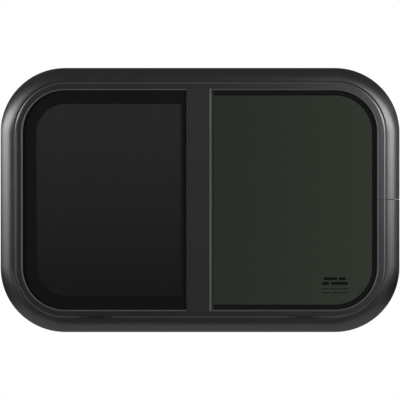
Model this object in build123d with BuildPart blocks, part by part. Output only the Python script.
"""Caravan window: bent aluminium frame, fixed pane, sliding pane, insect screen and inner clamp ring.

Millimetres. +X to the right seen from outside, +Y into the caravan, +Z up.
The origin is the centre of the window, on the plane where the flange meets the outer skin of the wall.
"""

import os

from build123d import *

os.makedirs("parts", exist_ok=True)

# Overall size and the wall that the window clamps
frame_width = 740.0
frame_height = 490.0
corner_radius = 120.0
wall_thickness = 30.0
flange_overlap = 20.0
cutout_clearance = 2.0

# Frame section: insets run inwards from the outer edge, heights run outwards from the wall
rim_height = 1.2
crown_inset = 24.2
crown_height = 10.0
shoulder_round = 0.8
groove_height = 7.0
groove_width = 1.6
ridge_width = 4.0
ridge_rise = 0.4
band_outer_height = 7.6
band_inner_height = 7.7
lip_inset = 42.0
lip_bead_width = 3.6
lip_bead_rise = 1.5
lip_back_height = 3.5
rim_land = 2.2
seat_width = 10.0
sealant_depth = 5.0
stem_wall = 2.5
screw_slot_width = 4.0
slot_roof_depth = 1.0
front_channel_width = 10.0
rib_thickness = 1.5
rib_inset = 40.0
rear_channel_width = 15.2
inner_wall_thickness = 2.0

# Butt joint of the bent frame, on its right side
joint_height = 1.0
joint_gap = 0.6
joint_key_length = 80.0
joint_key_depth = 18.0
key_clearance = 0.2

# Weep covers in the bottom ridge
weep_spacing = 386.0
weep_length = 60.0
weep_slot_length = 30.0
weep_slot_width = 2.0
weep_cover_edge = 0.3
weep_front_margin = 1.2
weep_back_margin = 0.2
weep_seat_height = 5.4
weep_cover_height = 7.6
weep_drain_length = 24.0
weep_drain_width = 3.4
weep_drain_depth = 3.6
weep_drain_overcut = 0.6

# Centre mullion
mullion_left = -25.2
mullion_right = 22.5
mullion_plate = 1.9
mullion_edge_break = 0.4
mullion_bead_width = 3.6
mullion_bead_rise = 1.5
mullion_bead_margin = 0.8
mullion_edge_wall = 2.0
mullion_core_left = -6.0
mullion_core_right = 9.0
mullion_core_wall = 2.0

# Fixed pane and its gasket
glass_thickness = 4.0
fixed_edge_inset = 34.0
fixed_edge_gap = 3.0
gasket_sight = 9.0
gasket_mullion_sight = 3.0
gasket_back_sight = 2.0
gasket_clearance = 0.1
gasket_toe = 0.6

# Insect screen
screen_edge_inset = 33.0
screen_rail_width = 33.0
screen_right = -9.0
screen_stile_width = 27.0
screen_thickness = 8.0
screen_front_gap = 0.2
screen_edge_round = 1.5
spline_groove_width = 3.6
spline_groove_depth = 3.8
spline_groove_margin = 3.5
spline_clearance = 0.1
mesh_thickness = 0.5

# Sliding pane and what it carries
sliding_edge_inset = 34.0
sliding_right = 10.0
pane_front_gap = 6.1
stile_width = 12.0
stile_edge = 2.0
stile_front_leg = 1.0
stile_back_leg = 1.8
bond_gap = 0.1
pile_clearance = 0.3
stile_pile_width = 5.0
glide_length = 34.0
glide_wall = 1.8
glide_inset_left = 51.0
glide_inset_right = 36.0

# Run seals, jamb seal, runner and stop in the rear channel
seal_inset = 36.0
seal_width = 4.0
seal_base = 1.2
seal_base_step = 0.6
run_end_gap = 3.0
jamb_seal_width = 7.0
runner_height = 1.0
runner_width = 9.0
stop_length = 12.0
stop_clearance = 0.5
stop_end_gap = 5.5

# Pull handle, latch lever and keeper at the closing edge
handle_gap = 5.0
handle_width = 15.0
handle_height = 120.0
handle_base = 3.0
grip_width = 12.0
grip_height = 62.0
grip_end_margin = 5.0
grip_rise = 16.0
grip_round = 2.0
grip_scoop = 3.5
handle_edge = 1.2
latch_end_inset = 26.0
lever_height = 34.0
lever_thickness = 4.0
lever_reach = 6.0
lever_length = 21.0
lever_clearance = 2.5
lever_boss_width = 7.0
lever_boss_height = 22.0
lever_thumb_rise = 5.5
lever_thumb_width = 4.5
keeper_height = 40.0
keeper_wall = 1.5
keeper_reach = 4.6
keeper_hook = 1.4
keeper_clearance = 0.1

# Clamp ring
ring_outer_inset = 4.0
ring_inner_inset = 36.0
ring_thickness = 2.2
ring_leg = 2.4
ring_edge_drop = 1.4
ring_edge_width = 3.0
ring_hole_diameter = 4.5
ring_hole_head = 8.4
ring_holes_wide = 4
ring_holes_high = 2
ring_hole_pitch_x = 150.0
ring_hole_pitch_z = 130.0

# Section lines worked out from the sizes above
stem_inset = flange_overlap + cutout_clearance
slot_start = stem_inset + stem_wall
slot_end = slot_start + screw_slot_width
slot_middle = (slot_start + slot_end) / 2
channel_floor = slot_end + stem_wall
seat_start = stem_inset - seat_width
bulb_width = crown_inset + shoulder_round
ridge_start = bulb_width + groove_width
ridge_end = ridge_start + ridge_width
lip_bead_start = lip_inset - lip_bead_width

# Depths along Y, from outside to inside
lip_back_y = -lip_back_height
rib_front_y = lip_back_y + front_channel_width
rib_back_y = rib_front_y + rib_thickness
inner_wall_front_y = rib_back_y + rear_channel_width
inner_face_y = inner_wall_front_y + inner_wall_thickness
fixed_front_y = (lip_back_y + rib_front_y) / 2 - glass_thickness / 2
fixed_back_y = fixed_front_y + glass_thickness
pane_front_y = rib_back_y + pane_front_gap
pane_back_y = pane_front_y + glass_thickness
screen_front_y = lip_back_y + screen_front_gap
screen_back_y = screen_front_y + screen_thickness
ring_front_y = wall_thickness
ring_back_y = wall_thickness + ring_thickness

half_width = frame_width / 2
half_height = frame_height / 2
bottom_floor_z = channel_floor - half_height

# Straight runs between the bent corners, and how far the pane slides along the bottom one
straight_half_width = half_width - corner_radius
straight_half_height = half_height - corner_radius
run_end = straight_half_width - run_end_gap
stop_left = straight_half_width - stop_end_gap - stop_length
pane_travel = stop_left - stop_clearance - sliding_right


def upright_plane(y):
    """The window's upright plane at depth y: sketched from outside, extruded outwards."""
    return Plane.XZ.offset(-y)


def outline(inset):
    """The frame's rounded outline, moved inwards."""
    RectangleRounded(
        frame_width - 2 * inset,
        frame_height - 2 * inset,
        corner_radius - inset,
    )


def outline_right_of(inset, x):
    """The part of that outline to the right of x."""
    outline(inset)
    with Locations(((x + half_width) / 2, 0)):
        Rectangle(half_width - x, frame_height, mode=Mode.INTERSECT)


def outline_left_of(inset, x):
    """The part of that outline to the left of x."""
    outline(inset)
    with Locations(((x - half_width) / 2, 0)):
        Rectangle(half_width + x, frame_height, mode=Mode.INTERSECT)


def bent_path():
    """The way an extrusion is bent: round the outline, from one side of the butt joint to the other."""
    FilletPolyline(
        (half_width, joint_height + joint_gap / 2),
        (half_width, half_height),
        (-half_width, half_height),
        (-half_width, -half_height),
        (half_width, -half_height),
        (half_width, joint_height - joint_gap / 2),
        radius=corner_radius,
    )


def run_path():
    """The way of the sliding pane's seals: along the top, round the closing side and back along the bottom."""
    FilletPolyline(
        (run_end, half_height),
        (-half_width, half_height),
        (-half_width, -half_height),
        (run_end, -half_height),
        radius=corner_radius,
    )


# Section planes: x runs inwards from the outer edge, y runs outwards from the wall
joint_plane = Plane(
    origin=(half_width, 0, joint_height + joint_gap / 2), x_dir=(-1, 0, 0), z_dir=(0, 0, 1)
)
run_plane = Plane(origin=(run_end, 0, half_height), x_dir=(0, 0, -1), z_dir=(-1, 0, 0))

# Outer frame: one extrusion bent into a rounded rectangle, its ends butted on the right side
weep_front = ridge_start - weep_front_margin
weep_back = ridge_end + weep_back_margin
weep_width = weep_back - weep_front
weep_middle_z = (weep_front + weep_back) / 2 - half_height
mullion_middle = (mullion_left + mullion_right) / 2
mullion_width = mullion_right - mullion_left
mullion_face_y = -band_inner_height
mullion_seat_y = mullion_face_y + mullion_plate

with BuildPart() as outer_frame:
    with BuildLine(Plane.XZ):
        bent_path()
    with BuildSketch(joint_plane):
        with BuildLine():
            Line((0, 0), (0, rim_height))
            TangentArc((crown_inset, crown_height), (0, rim_height), tangent=(-1, 0))
            TangentArc(
                (crown_inset, crown_height),
                (bulb_width, crown_height - shoulder_round),
                tangent=(1, 0),
            )
            Polyline(
                (bulb_width, crown_height - shoulder_round),
                (bulb_width, groove_height),
                (ridge_start, groove_height),
                (ridge_start, band_outer_height),
            )
            ThreePointArc(
                (ridge_start, band_outer_height),
                ((ridge_start + ridge_end) / 2, band_outer_height + ridge_rise),
                (ridge_end, band_outer_height),
            )
            TangentArc(
                (lip_bead_start, band_inner_height),
                (ridge_end, band_outer_height),
                tangent=(-1, 0),
            )
            ThreePointArc(
                (lip_bead_start, band_inner_height),
                ((lip_bead_start + lip_inset) / 2, band_inner_height + lip_bead_rise),
                (lip_inset, band_inner_height),
            )
            Polyline(
                (lip_inset, band_inner_height),
                (lip_inset, lip_back_height),
                (channel_floor, lip_back_height),
                (channel_floor, -rib_front_y),
                (rib_inset, -rib_front_y),
                (rib_inset, -rib_back_y),
                (channel_floor, -rib_back_y),
                (channel_floor, -inner_wall_front_y),
                (lip_inset, -inner_wall_front_y),
                (lip_inset, -inner_face_y),
                (slot_end, -inner_face_y),
                (slot_end, -slot_roof_depth),
                (slot_start, -slot_roof_depth),
                (slot_start, -inner_face_y),
                (stem_inset, -inner_face_y),
                (stem_inset, 0),
                (seat_start, 0),
                (seat_start, sealant_depth),
                (rim_land, rim_height),
                (rim_land, 0),
                (0, 0),
            )
        make_face()
    sweep()
    # The lip is notched to a flat seat for each end of the mullion, whose face runs on into the band
    for side in (1, -1):
        notch_middle = side * (half_height - (lip_bead_start + lip_inset) / 2)
        with BuildSketch(upright_plane(mullion_seat_y)):
            with Locations((mullion_middle, notch_middle)):
                Rectangle(mullion_width, lip_bead_width)
        extrude(amount=crown_height + mullion_seat_y, mode=Mode.SUBTRACT)
    # Pockets for the weep covers, each drained from the floor of the front channel
    for side in (1, -1):
        with BuildSketch(upright_plane(-weep_seat_height)):
            with Locations((side * weep_spacing / 2, weep_middle_z)):
                SlotOverall(weep_length, weep_width)
        extrude(amount=crown_height - weep_seat_height, mode=Mode.SUBTRACT)
        with BuildSketch(upright_plane(-weep_seat_height + weep_drain_depth)):
            with Locations((side * weep_spacing / 2, bottom_floor_z - weep_drain_width / 2)):
                Rectangle(weep_drain_length, weep_drain_width + 2 * weep_drain_overcut)
        extrude(amount=weep_drain_depth, mode=Mode.SUBTRACT)
outer_frame.part.label = "outer_frame"
export_step(outer_frame.part, "parts/outer_frame.step")

# Joint key: bar in the screw slot that holds the two butted ends in line
with BuildPart() as joint_key:
    with BuildSketch(Plane.XY.offset(joint_height - joint_key_length / 2)):
        with Locations((half_width - slot_middle, slot_roof_depth + key_clearance + joint_key_depth / 2)):
            Rectangle(screw_slot_width - 2 * key_clearance, joint_key_depth)
    extrude(amount=joint_key_length)
    chamfer(joint_key.edges().group_by(Axis.Z)[0], key_clearance * 2)
    chamfer(joint_key.edges().group_by(Axis.Z)[-1], key_clearance * 2)
joint_key.part.label = "joint_key"
export_step(joint_key.part, "parts/joint_key.step")

# Weep covers: flat covers with a slot, seated in the pockets of the bottom ridge
for name, side in (("left", -1), ("right", 1)):
    with BuildPart() as weep_cover:
        with BuildSketch(upright_plane(-weep_seat_height)):
            with Locations((side * weep_spacing / 2, weep_middle_z)):
                SlotOverall(weep_length - 2 * key_clearance, weep_width - 2 * key_clearance)
        extrude(amount=weep_cover_height - weep_seat_height)
        chamfer(weep_cover.faces().sort_by(Axis.Y)[0].edges(), weep_cover_edge)
        with BuildSketch(upright_plane(-weep_seat_height)):
            with Locations((side * weep_spacing / 2, weep_middle_z)):
                SlotOverall(weep_slot_length, weep_slot_width)
        extrude(amount=weep_cover_height - weep_seat_height, mode=Mode.SUBTRACT)
    weep_cover.part.label = f"weep_cover_{name}"
    export_step(weep_cover.part, f"parts/weep_cover_{name}.step")

# Centre mullion: an extruded post with a face plate level with the band and a channel on each side
mullion_half_length = half_height - lip_bead_start
mullion_bead_right = mullion_right - mullion_bead_margin
mullion_bead_left = mullion_bead_right - mullion_bead_width
core_half_length = half_height - channel_floor
lip_half_length = half_height - lip_inset

with BuildPart() as centre_mullion:
    # Face plate with its bead, ending in the notches of the frame's lip
    with BuildSketch(Plane.XY.offset(-mullion_half_length)):
        with BuildLine():
            Polyline(
                (mullion_bead_left, mullion_face_y),
                (mullion_left + mullion_edge_break, mullion_face_y),
                (mullion_left, mullion_face_y + mullion_edge_break),
                (mullion_left, mullion_seat_y),
                (mullion_right, mullion_seat_y),
                (mullion_right, mullion_face_y),
                (mullion_bead_right, mullion_face_y),
            )
            ThreePointArc(
                (mullion_bead_right, mullion_face_y),
                (mullion_bead_right - mullion_bead_width / 2, mullion_face_y - mullion_bead_rise),
                (mullion_bead_left, mullion_face_y),
            )
        make_face()
    extrude(amount=2 * mullion_half_length)
    # Edges turned back between the two lips of the frame
    with BuildSketch(Plane.XY.offset(-lip_half_length)):
        for x in (mullion_left + mullion_edge_wall / 2, mullion_right - mullion_edge_wall / 2):
            with Locations((x, (lip_back_y + mullion_seat_y) / 2)):
                Rectangle(mullion_edge_wall, lip_back_y - mullion_seat_y)
        with Locations(((mullion_core_left + mullion_core_right) / 2, (lip_back_y + mullion_seat_y) / 2)):
            Rectangle(mullion_core_right - mullion_core_left, lip_back_y - mullion_seat_y)
    extrude(amount=2 * lip_half_length)
    # Hollow core, seated on the channel floor at the top and the bottom
    with BuildSketch(Plane.XY.offset(-core_half_length)):
        with Locations(((mullion_core_left + mullion_core_right) / 2, (lip_back_y + rib_front_y) / 2)):
            Rectangle(mullion_core_right - mullion_core_left, front_channel_width)
            Rectangle(
                mullion_core_right - mullion_core_left - 2 * mullion_core_wall,
                front_channel_width - 2 * mullion_core_wall,
                mode=Mode.SUBTRACT,
            )
    extrude(amount=2 * core_half_length)
    # Back plate between the frame's ribs
    with BuildSketch(Plane.XY.offset(rib_inset - half_height)):
        with Locations((mullion_middle, (rib_front_y + rib_back_y) / 2)):
            Rectangle(mullion_width, rib_thickness)
    extrude(amount=frame_height - 2 * rib_inset)
centre_mullion.part.label = "centre_mullion"
export_step(centre_mullion.part, "parts/centre_mullion.step")

# Fixed pane: toughened glass with rounded right corners
fixed_left = mullion_core_right + fixed_edge_gap
with BuildPart() as fixed_pane:
    with BuildSketch(upright_plane(fixed_back_y)):
        outline_right_of(fixed_edge_inset, fixed_left)
    extrude(amount=glass_thickness)
fixed_pane.part.label = "fixed_pane"
export_step(fixed_pane.part, "parts/fixed_pane.step")

# Gasket: a rubber channel round the edge of the fixed pane, its front leg wedged behind the lip
gasket_outer = channel_floor + gasket_clearance
gasket_left = mullion_core_right + gasket_clearance
gasket_front_y = lip_back_y + gasket_clearance
gasket_rear_y = rib_front_y - gasket_clearance
with BuildPart() as fixed_pane_gasket:
    with BuildSketch(upright_plane(gasket_rear_y)):
        outline_right_of(gasket_outer, gasket_left)
    extrude(amount=gasket_rear_y - gasket_front_y)
    with BuildSketch(upright_plane(fixed_back_y)):
        outline_right_of(fixed_edge_inset, fixed_left)
    extrude(amount=glass_thickness, mode=Mode.SUBTRACT)
    with BuildSketch(upright_plane(gasket_rear_y)):
        outline_right_of(rib_inset + gasket_back_sight, mullion_right + gasket_back_sight)
    extrude(amount=gasket_rear_y - fixed_front_y, mode=Mode.SUBTRACT)
    with BuildSketch(upright_plane(fixed_front_y)):
        outline_right_of(lip_inset + gasket_sight, mullion_right + gasket_mullion_sight)
    extrude(amount=fixed_front_y - gasket_front_y, mode=Mode.SUBTRACT)
    sight_edges = (
        fixed_pane_gasket.faces()
        .sort_by(Axis.Y)[0]
        .inner_wires()[0]
        .edges()
    )
    chamfer(sight_edges, gasket_mullion_sight - gasket_toe)
fixed_pane_gasket.part.label = "fixed_pane_gasket"
export_step(fixed_pane_gasket.part, "parts/fixed_pane_gasket.step")

# Insect screen frame: bent rail in the front channel, rounded to the frame on the closing side
screen_inner_inset = screen_edge_inset + screen_rail_width
screen_inner_right = screen_right - screen_stile_width
groove_outer_inset = screen_inner_inset - spline_groove_margin - spline_groove_width
groove_outer_right = screen_inner_right + spline_groove_margin + spline_groove_width
with BuildPart() as screen_frame:
    with BuildSketch(upright_plane(screen_back_y)):
        outline_left_of(screen_edge_inset, screen_right)
    extrude(amount=screen_thickness)
    with BuildSketch(upright_plane(screen_back_y)):
        outline_left_of(screen_inner_inset, screen_inner_right)
    extrude(amount=screen_thickness, mode=Mode.SUBTRACT)
    front_edges = screen_frame.faces().sort_by(Axis.Y)[0].inner_wires()[0].edges()
    fillet(front_edges, screen_edge_round)
    with BuildSketch(upright_plane(screen_back_y)):
        outline_left_of(groove_outer_inset, groove_outer_right)
        with BuildSketch(mode=Mode.PRIVATE) as groove_inside:
            outline_left_of(
                groove_outer_inset + spline_groove_width, groove_outer_right - spline_groove_width
            )
        add(groove_inside.sketch, mode=Mode.SUBTRACT)
    extrude(amount=spline_groove_depth, mode=Mode.SUBTRACT)
screen_frame.part.label = "screen_frame"
export_step(screen_frame.part, "parts/screen_frame.step")

# Spline: rubber cord pressed into the groove behind the screen frame
with BuildPart() as screen_spline:
    with BuildSketch(upright_plane(screen_back_y)):
        outline_left_of(groove_outer_inset + spline_clearance, groove_outer_right - spline_clearance)
        with BuildSketch(mode=Mode.PRIVATE) as spline_inside:
            outline_left_of(
                groove_outer_inset + spline_groove_width - spline_clearance,
                groove_outer_right - spline_groove_width + spline_clearance,
            )
        add(spline_inside.sketch, mode=Mode.SUBTRACT)
    extrude(amount=spline_groove_depth - spline_clearance)
screen_spline.part.label = "screen_spline"
export_step(screen_spline.part, "parts/screen_spline.step")

# Mesh: woven sheet drawn flat over the back of the screen frame, held by the spline
with BuildPart() as screen_mesh:
    with BuildSketch(upright_plane(screen_back_y + mesh_thickness)):
        outline_left_of(groove_outer_inset, groove_outer_right)
    extrude(amount=mesh_thickness)
screen_mesh.part.label = "screen_mesh"
export_step(screen_mesh.part, "parts/screen_mesh.step")

# Sliding pane: toughened glass behind the mullion, rounded on its closing side
with BuildPart() as sliding_pane:
    with BuildSketch(upright_plane(pane_back_y)):
        outline_left_of(sliding_edge_inset, sliding_right)
    extrude(amount=glass_thickness)
sliding_pane.part.label = "sliding_pane"
export_step(sliding_pane.part, "parts/sliding_pane.step")

# Stile: aluminium channel bonded on the trailing edge of the sliding pane
stile_right = sliding_right + stile_edge
stile_left = stile_right - stile_width
stile_front_y = pane_front_y - stile_front_leg - bond_gap
stile_back_y = pane_back_y + stile_back_leg + bond_gap
stile_half_length = half_height - seal_inset - seal_width - pile_clearance
with BuildPart() as pane_stile:
    with BuildSketch(Plane.XY.offset(-stile_half_length)):
        with BuildLine():
            Polyline(
                (stile_left, stile_front_y),
                (stile_right, stile_front_y),
                (stile_right, stile_back_y),
                (stile_left, stile_back_y),
                (stile_left, pane_back_y + bond_gap),
                (sliding_right + bond_gap, pane_back_y + bond_gap),
                (sliding_right + bond_gap, pane_front_y - bond_gap),
                (stile_left, pane_front_y - bond_gap),
                close=True,
            )
        make_face()
    extrude(amount=2 * stile_half_length)
    fillet(pane_stile.edges().filter_by(Axis.Z).group_by(Axis.Y)[-1], stile_front_leg / 2)
pane_stile.part.label = "pane_stile"
export_step(pane_stile.part, "parts/pane_stile.step")

# Stile pile: brush seal on the stile, against the back of the mullion
stile_middle = (stile_left + stile_right) / 2
with BuildPart() as stile_pile:
    with BuildSketch(Plane.XY.offset(-stile_half_length)):
        with Locations((stile_middle, stile_front_y - seal_base / 2)):
            Rectangle(stile_pile_width, seal_base)
        with Locations((stile_middle, (rib_back_y + pile_clearance + stile_front_y) / 2)):
            Rectangle(
                stile_pile_width - 2 * seal_base_step, stile_front_y - rib_back_y - pile_clearance
            )
    extrude(amount=2 * stile_half_length)
stile_pile.part.label = "stile_pile"
export_step(stile_pile.part, "parts/stile_pile.step")

# Run seals: brush strips on both walls of the rear channel, bent round the closing side with the frame
seal_strips = (
    ("run_seal_front", rib_back_y, pane_front_y - pile_clearance, 1),
    ("run_seal_rear", inner_wall_front_y, pane_back_y + pile_clearance, -1),
)
for name, wall_y, tip_y, inwards in seal_strips:
    with BuildPart() as run_seal:
        with BuildLine(Plane.XZ):
            run_path()
        with BuildSketch(run_plane):
            with BuildLine():
                Polyline(
                    (seal_inset, -wall_y),
                    (seal_inset + seal_width, -wall_y),
                    (seal_inset + seal_width, -wall_y - inwards * seal_base),
                    (seal_inset + seal_width - seal_base_step, -wall_y - inwards * seal_base),
                    (seal_inset + seal_width - seal_base_step, -tip_y),
                    (seal_inset + seal_base_step, -tip_y),
                    (seal_inset + seal_base_step, -wall_y - inwards * seal_base),
                    (seal_inset, -wall_y - inwards * seal_base),
                    close=True,
                )
            make_face()
        sweep()
    run_seal.part.label = name
    export_step(run_seal.part, f"parts/{name}.step")

# Jamb seal: rubber strip on the channel floor where the pane closes
jamb_tip_inset = sliding_edge_inset - pile_clearance
jamb_seal_x = -half_width + (channel_floor + jamb_tip_inset) / 2
jamb_half_height = straight_half_height - run_end_gap
with BuildPart() as jamb_seal:
    with BuildSketch(Plane.XY.offset(-jamb_half_height)):
        with Locations((jamb_seal_x, (pane_front_y + pane_back_y) / 2)):
            Rectangle(jamb_tip_inset - channel_floor, jamb_seal_width)
    extrude(amount=2 * jamb_half_height)
    fillet(
        jamb_seal.edges().filter_by(Axis.Z).group_by(Axis.X)[-1],
        (jamb_tip_inset - channel_floor) / 2,
    )
jamb_seal.part.label = "jamb_seal"
export_step(jamb_seal.part, "parts/jamb_seal.step")

# Bottom runner: low nylon rail on the floor of the rear channel
pane_middle_y = (pane_front_y + pane_back_y) / 2
runner_top_z = bottom_floor_z + runner_height
with BuildPart() as bottom_runner:
    with BuildSketch(Plane.XY.offset(bottom_floor_z)):
        with Locations((0, pane_middle_y)):
            Rectangle(2 * run_end, runner_width)
    extrude(amount=runner_height)
    chamfer(bottom_runner.faces().sort_by(Axis.Z)[-1].edges(), runner_height / 3)
bottom_runner.part.label = "bottom_runner"
export_step(bottom_runner.part, "parts/bottom_runner.step")

# Slide stop: block on the runner that the open pane comes up against
stop_top_z = seal_inset - pile_clearance - half_height
with BuildPart() as slide_stop:
    with BuildSketch(Plane.XY.offset(runner_top_z)):
        with Locations((stop_left + stop_length / 2, pane_middle_y)):
            Rectangle(stop_length, runner_width)
    extrude(amount=stop_top_z - runner_top_z)
    fillet(slide_stop.edges().filter_by(Axis.Y).group_by(Axis.Z)[-1], runner_height)
slide_stop.part.label = "slide_stop"
export_step(slide_stop.part, "parts/slide_stop.step")

# Glides: nylon shoes clipped under the sliding pane
pane_bottom_z = sliding_edge_inset - half_height
glide_bottom_z = runner_top_z + pile_clearance
glide_height = seal_inset - pile_clearance - half_height - glide_bottom_z
glide_places = (
    ("left", -run_end + glide_inset_left),
    ("right", sliding_right - glide_inset_right),
)
for name, glide_x in glide_places:
    with BuildPart() as glide:
        with BuildSketch(Plane.XY.offset(glide_bottom_z)):
            with Locations((glide_x, pane_middle_y)):
                Rectangle(glide_length, glass_thickness + 2 * glide_wall + 2 * bond_gap)
        extrude(amount=glide_height)
        with BuildSketch(Plane.XY.offset(pane_bottom_z - bond_gap)):
            with Locations((glide_x, pane_middle_y)):
                Rectangle(glide_length, glass_thickness + 2 * bond_gap)
        extrude(amount=glide_height, mode=Mode.SUBTRACT)
        fillet(glide.edges().filter_by(Axis.Y).group_by(Axis.Z)[0], runner_height)
    glide.part.label = f"glide_{name}"
    export_step(glide.part, f"parts/glide_{name}.step")

# Pull handle: moulded base bonded on the inside of the sliding pane, with a scooped grip
handle_left = -half_width + lip_inset + handle_gap
handle_right = handle_left + handle_width
handle_x = (handle_left + handle_right) / 2
handle_back_y = pane_back_y + handle_base
grip_right = handle_right - handle_edge
grip_left = grip_right - grip_width
grip_back_y = handle_back_y + grip_rise
grip_bottom_z = handle_height / 2 - grip_end_margin - grip_height
with BuildPart() as pull_handle:
    with BuildSketch(upright_plane(handle_back_y)):
        with Locations((handle_x, 0)):
            RectangleRounded(handle_width, handle_height, handle_width / 4)
    extrude(amount=handle_base)
    fillet(pull_handle.faces().sort_by(Axis.Y)[-1].edges(), handle_edge)
    with BuildSketch(Plane.XY.offset(grip_bottom_z)):
        with BuildLine():
            Polyline(
                (grip_right, handle_back_y - handle_base / 2),
                (grip_left + grip_scoop, handle_back_y - handle_base / 2),
                (grip_left + grip_scoop, handle_back_y),
                (grip_left, grip_back_y),
                (grip_right, grip_back_y),
            )
            ThreePointArc(
                (grip_right, grip_back_y),
                (grip_right - grip_scoop, (handle_back_y + grip_back_y) / 2),
                (grip_right, handle_back_y - handle_base / 2),
            )
        make_face()
    extrude(amount=grip_height)
    fillet(pull_handle.faces().sort_by(Axis.Y)[-1].edges(), grip_round)
pull_handle.part.label = "pull_handle"
export_step(pull_handle.part, "parts/pull_handle.step")

# Latch lever: thumb lever on a boss below the grip, its nose over the keeper
latch_middle_z = latch_end_inset - handle_height / 2
lever_left = handle_left - lever_reach
lever_right = lever_left + lever_length
lever_front_y = inner_face_y + keeper_wall + lever_clearance
lever_back_y = lever_front_y + lever_thickness
boss_left = handle_left + handle_edge
with BuildPart() as latch_lever:
    with BuildSketch(Plane.XY.offset(latch_middle_z - lever_height / 2)):
        with BuildLine():
            Polyline(
                (lever_left, lever_back_y),
                (lever_left, lever_front_y),
                (lever_right, lever_front_y),
                (lever_right, lever_back_y + lever_thumb_rise),
                (lever_right - lever_thumb_width, lever_back_y + lever_thumb_rise),
                (lever_right - 2 * lever_thumb_width, lever_back_y),
                close=True,
            )
        make_face()
    extrude(amount=lever_height)
    fillet(latch_lever.edges().filter_by(Axis.Z), lever_thickness / 4)
    with BuildSketch(upright_plane(lever_front_y)):
        with Locations((boss_left + lever_boss_width / 2, latch_middle_z)):
            RectangleRounded(lever_boss_width, lever_boss_height, lever_boss_width / 3)
    extrude(amount=lever_front_y - handle_back_y)
latch_lever.part.label = "latch_lever"
export_step(latch_lever.part, "parts/latch_lever.step")

# Latch keeper: clip over the edge of the frame's inner wall
keeper_edge_x = -half_width + lip_inset
with BuildPart() as latch_keeper:
    with BuildSketch(Plane.XY.offset(latch_middle_z - keeper_height / 2)):
        with BuildLine():
            Polyline(
                (keeper_edge_x - keeper_reach, inner_face_y + keeper_clearance),
                (keeper_edge_x + keeper_clearance, inner_face_y + keeper_clearance),
                (keeper_edge_x + keeper_clearance, inner_wall_front_y - keeper_clearance),
                (keeper_edge_x - keeper_hook, inner_wall_front_y - keeper_clearance),
                (keeper_edge_x - keeper_hook, inner_wall_front_y - keeper_clearance - keeper_wall),
                (keeper_edge_x + keeper_wall, inner_wall_front_y - keeper_clearance - keeper_wall),
                (keeper_edge_x + keeper_wall, inner_face_y + keeper_wall),
                (keeper_edge_x - keeper_reach, inner_face_y + keeper_wall),
                close=True,
            )
        make_face()
    extrude(amount=keeper_height)
latch_keeper.part.label = "latch_keeper"
export_step(latch_keeper.part, "parts/latch_keeper.step")

# Clamp ring: the inner half of the window, bent like the frame and screwed into its slot
ring_hole_places = [
    (x * ring_hole_pitch_x, side * (half_height - slot_middle))
    for side in (1, -1)
    for x in [i - (ring_holes_wide - 1) / 2 for i in range(ring_holes_wide)]
] + [
    (side * (half_width - slot_middle), z * ring_hole_pitch_z)
    for side in (1, -1)
    for z in [i - (ring_holes_high - 1) / 2 for i in range(ring_holes_high)]
]
with BuildPart() as clamp_ring:
    with BuildLine(Plane.XZ):
        bent_path()
    with BuildSketch(joint_plane):
        with BuildLine():
            Polyline(
                (ring_outer_inset, -ring_front_y),
                (ring_outer_inset, -ring_back_y + ring_edge_drop),
                (ring_outer_inset + ring_edge_width, -ring_back_y),
                (ring_inner_inset - ring_edge_drop, -ring_back_y),
                (ring_inner_inset, -ring_back_y + ring_edge_drop),
                (ring_inner_inset, -inner_face_y),
                (ring_inner_inset - ring_leg, -inner_face_y),
                (ring_inner_inset - ring_leg, -ring_front_y),
                close=True,
            )
        make_face()
    sweep()
    with Locations(Plane(origin=(0, ring_back_y, 0), x_dir=(1, 0, 0), z_dir=(0, 1, 0))):
        with Locations(*ring_hole_places):
            CounterSinkHole(ring_hole_diameter / 2, ring_hole_head / 2, depth=ring_thickness)
clamp_ring.part.label = "clamp_ring"
export_step(clamp_ring.part, "parts/clamp_ring.step")

print(f"The pane slides {pane_travel:g} mm to its stop")
